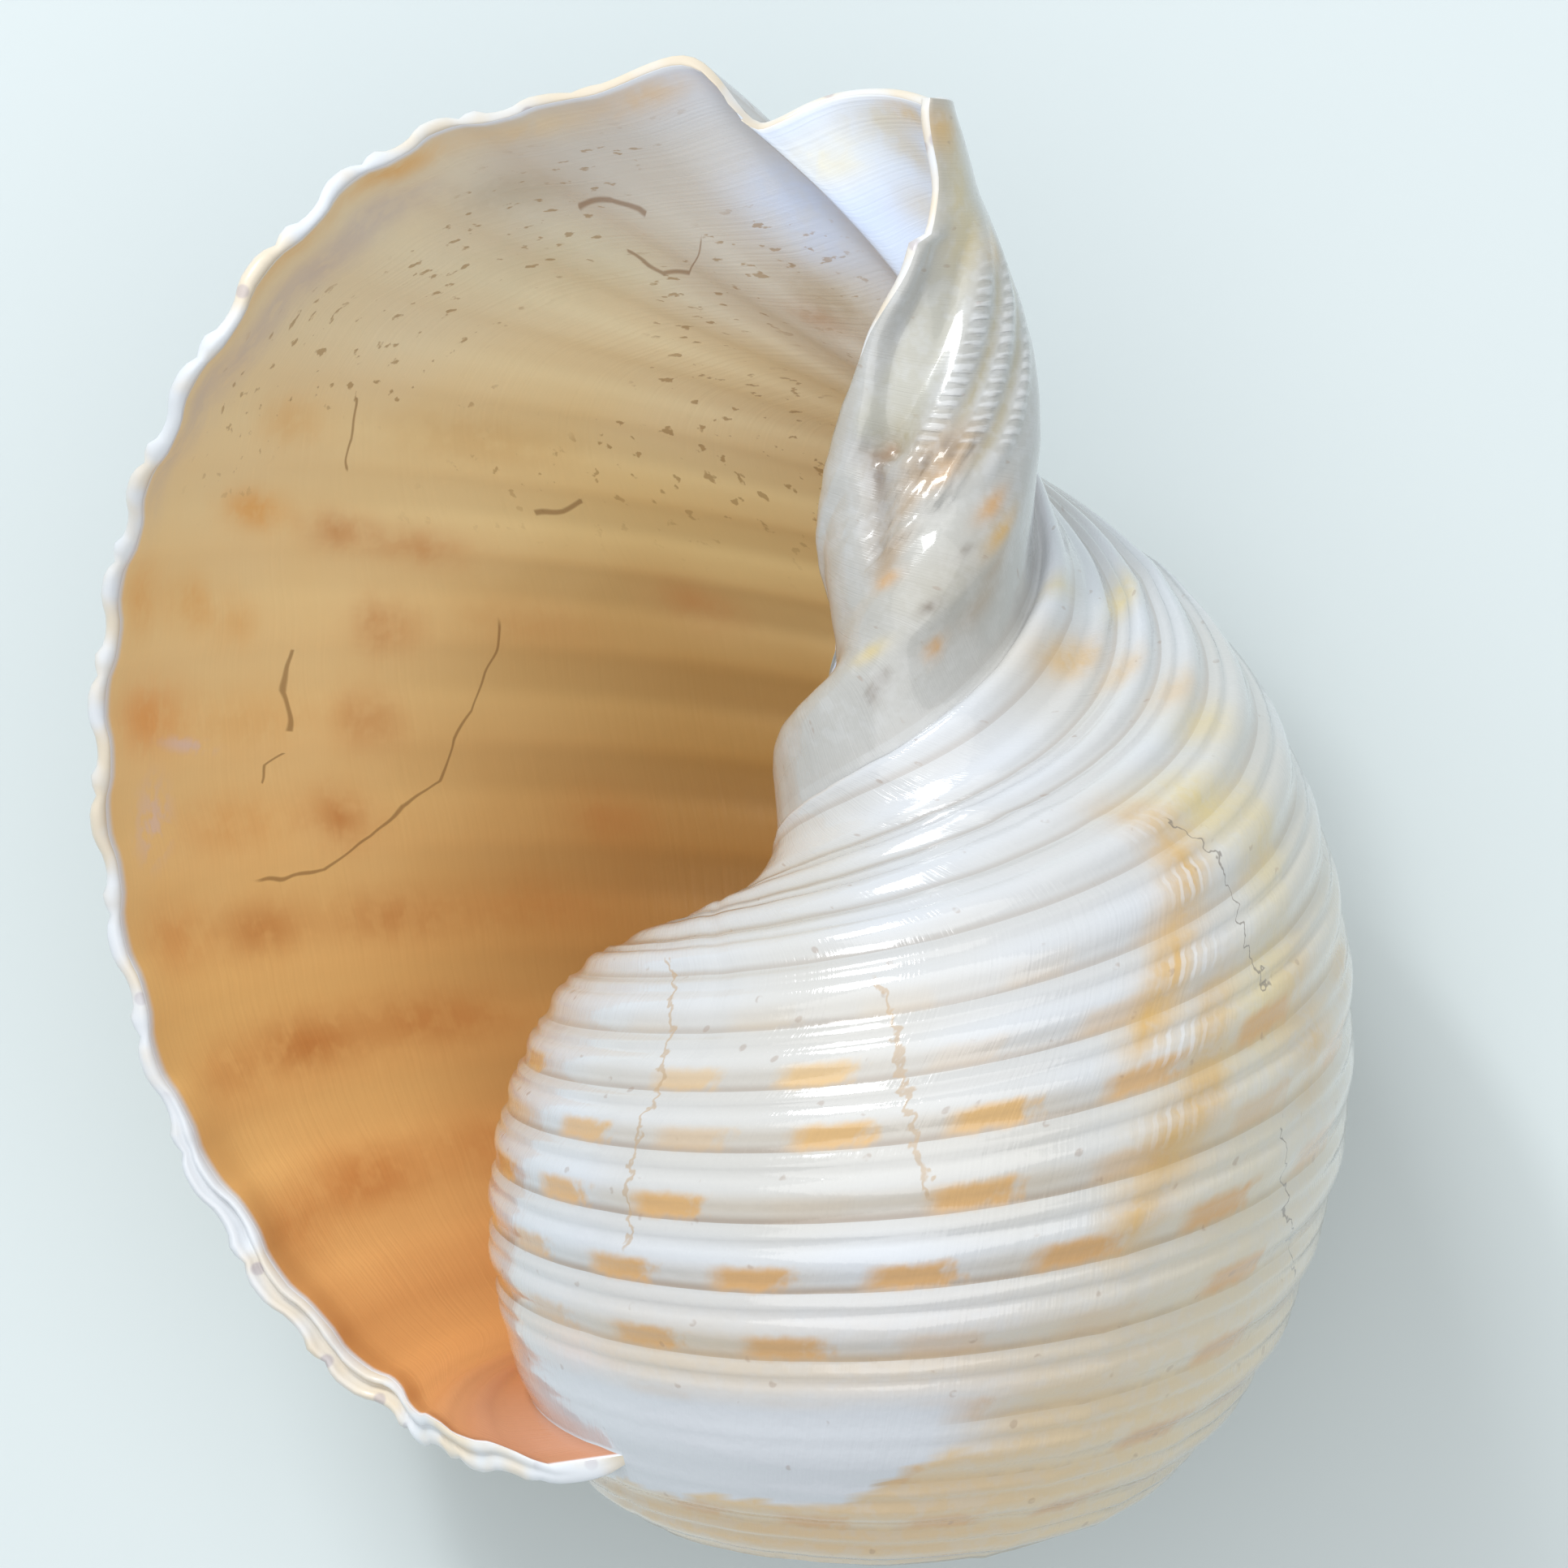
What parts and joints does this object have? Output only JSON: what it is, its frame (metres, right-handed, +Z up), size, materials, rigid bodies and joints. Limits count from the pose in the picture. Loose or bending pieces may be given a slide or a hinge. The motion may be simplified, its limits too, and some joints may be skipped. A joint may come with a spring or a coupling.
{
  "type": "tun shell",
  "caption": "Empty coiled sea shell with spiral ribs, a low spire, a wide open mouth and a short twisted canal, lying on its back.",
  "frame": {"origin": "centre of the bounding box's bottom, on the surface that the shell rests on", "axes": "+Y along the shell from its spire to its canal, +Z up out of the mouth, +X from the lip's side towards the body whorl"},
  "size_m": [0.1126, 0.131, 0.088],
  "materials": {
    "shell": "porcelain-like natural shell: glossy white to cream ribs with orange dashes outside, satin honey-orange inside"
  },
  "bodies": {
    "root": {"shell": "shell"}
  },
  "joints": []
}
